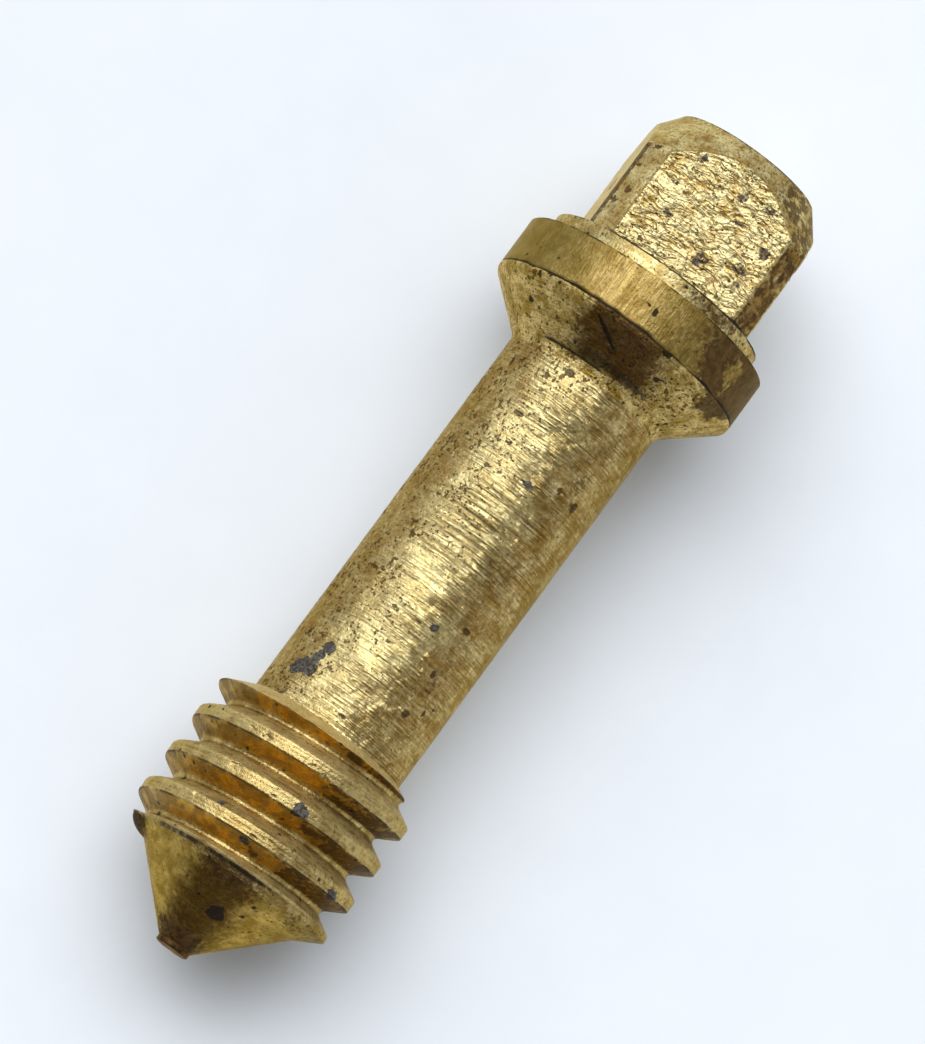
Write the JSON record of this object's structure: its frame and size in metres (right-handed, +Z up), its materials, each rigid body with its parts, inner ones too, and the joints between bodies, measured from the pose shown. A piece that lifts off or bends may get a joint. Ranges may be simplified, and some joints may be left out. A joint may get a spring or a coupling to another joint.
{
  "type": "square head screw",
  "caption": "Brass screw turned from one bar: square key head, round collar with a flared neck, plain shank, short coarse right-hand thread and a conical point.",
  "frame": {"origin": "on the axis, at the tip-side end of the collar's round wall", "axes": "+X along the axis from the tip to the head; +Z up with the screw lying on its side; the head's flats face +Y, -Y, +Z and -Z"},
  "size_m": [0.0309, 0.009, 0.009],
  "materials": {
    "milled_flats": "filed and knocked square head, bright with dull hollows",
    "turned_collar": "smooth turned wall gone dull, with dark stains",
    "turned_neck": "turned cone with rings, pits and brown tarnish",
    "turned_shank": "bright turned wall with fine rings and dark pits",
    "cut_thread": "bright worn crests over amber tarnished walls",
    "turned_point": "satin cone with dark stains"
  },
  "bodies": {
    "root": {"head": "milled_flats", "head_base": "milled_flats", "collar": "turned_collar", "neck": "turned_neck", "shank": "turned_shank", "thread": "cut_thread", "point": "turned_point", "tip": "turned_point"}
  },
  "joints": []
}
